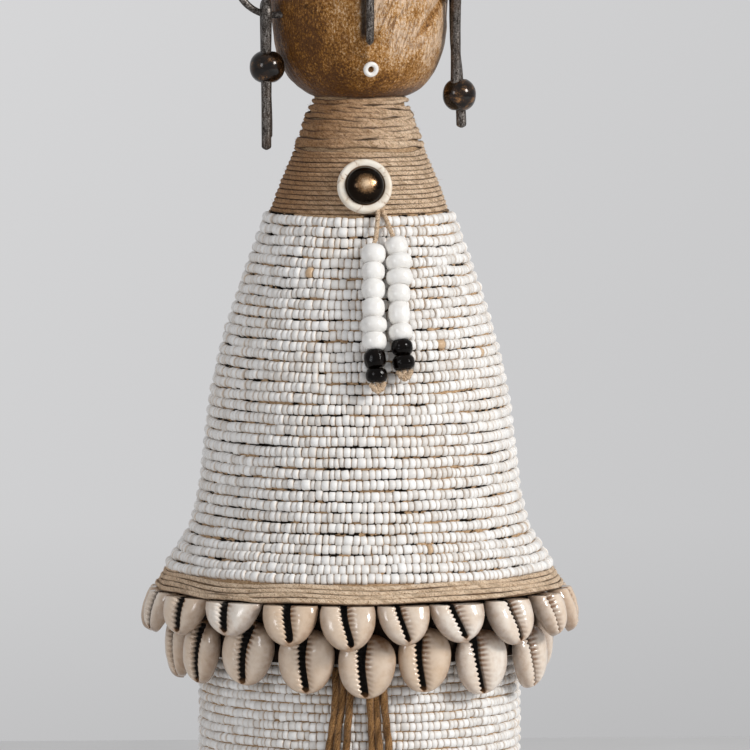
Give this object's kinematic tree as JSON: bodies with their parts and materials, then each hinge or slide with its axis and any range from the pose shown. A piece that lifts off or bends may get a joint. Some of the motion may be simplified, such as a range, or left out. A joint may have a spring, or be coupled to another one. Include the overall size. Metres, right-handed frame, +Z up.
{
  "type": "namji doll",
  "caption": "Standing carved doll with a bead mantle and skirt, twine-wound neck, two rows of cowry shells and hanging ornaments.",
  "frame": {"origin": "middle of the foot's underside", "axes": "+Z up, the face looks along -Y, the viewer's right is +X"},
  "size_m": [0.1252, 0.1249, 0.3375],
  "materials": {
    "foot_wood": "dark brown carved wood",
    "head_wood": "honey brown satin wood with dark patina",
    "seed_bead": "opaque white glass seed beads",
    "neck_twine": "fuzzy brown jute twine",
    "hem_twine": "light tan twine",
    "tail_jute": "twisted brown jute",
    "dark_band": "dark brown leather band",
    "cowry_shell": "glossy cream cowry shell",
    "bone": "ivory white bone with brown cracks",
    "bronze": "dark bronze coloured gloss",
    "iron": "dark speckled grey wire",
    "large_bead": "opaque gloss glass, white with black at the ends",
    "ring_bead": "opaque white glass ring"
  },
  "bodies": {
    "root": {"wooden_foot": "foot_wood", "bead_skirt": "seed_bead", "bead_mantle": "seed_bead", "neck_twine": "neck_twine", "hem_twine": "hem_twine", "shell_band": "dark_band", "bead_pendants": "large_bead", "front_tails": "tail_jute", "brooch_disc": "bone", "brooch_stud": "bronze", "carved_head": "head_wood", "nose_strip": "iron", "mouth_bead": "ring_bead", "eye_bead_left": "ring_bead", "eye_bead_right": "ring_bead", "ear_ring_left": "iron", "ear_ring_right": "iron", "ear_pin_left": "iron", "ear_pin_right": "iron", "ear_bead_left": "bronze", "ear_bead_right": "bronze", "cowry_upper_01": "cowry_shell", "cowry_upper_02": "cowry_shell", "cowry_upper_03": "cowry_shell", "cowry_upper_04": "cowry_shell", "cowry_upper_05": "cowry_shell", "cowry_upper_06": "cowry_shell", "cowry_upper_07": "cowry_shell", "cowry_upper_08": "cowry_shell", "cowry_upper_09": "cowry_shell", "cowry_upper_10": "cowry_shell", "cowry_upper_11": "cowry_shell", "cowry_upper_12": "cowry_shell", "cowry_upper_13": "cowry_shell", "cowry_upper_14": "cowry_shell", "cowry_upper_15": "cowry_shell", "cowry_upper_16": "cowry_shell", "cowry_upper_17": "cowry_shell", "cowry_upper_18": "cowry_shell", "cowry_upper_19": "cowry_shell", "cowry_upper_20": "cowry_shell", "cowry_lower_01": "cowry_shell", "cowry_lower_02": "cowry_shell", "cowry_lower_03": "cowry_shell", "cowry_lower_04": "cowry_shell", "cowry_lower_05": "cowry_shell", "cowry_lower_06": "cowry_shell", "cowry_lower_07": "cowry_shell", "cowry_lower_08": "cowry_shell", "cowry_lower_09": "cowry_shell", "cowry_lower_10": "cowry_shell", "cowry_lower_11": "cowry_shell", "cowry_lower_12": "cowry_shell", "cowry_lower_13": "cowry_shell", "cowry_lower_14": "cowry_shell", "cowry_lower_15": "cowry_shell", "cowry_lower_16": "cowry_shell", "cowry_lower_17": "cowry_shell", "cowry_lower_18": "cowry_shell", "cowry_lower_19": "cowry_shell"}
  },
  "joints": []
}
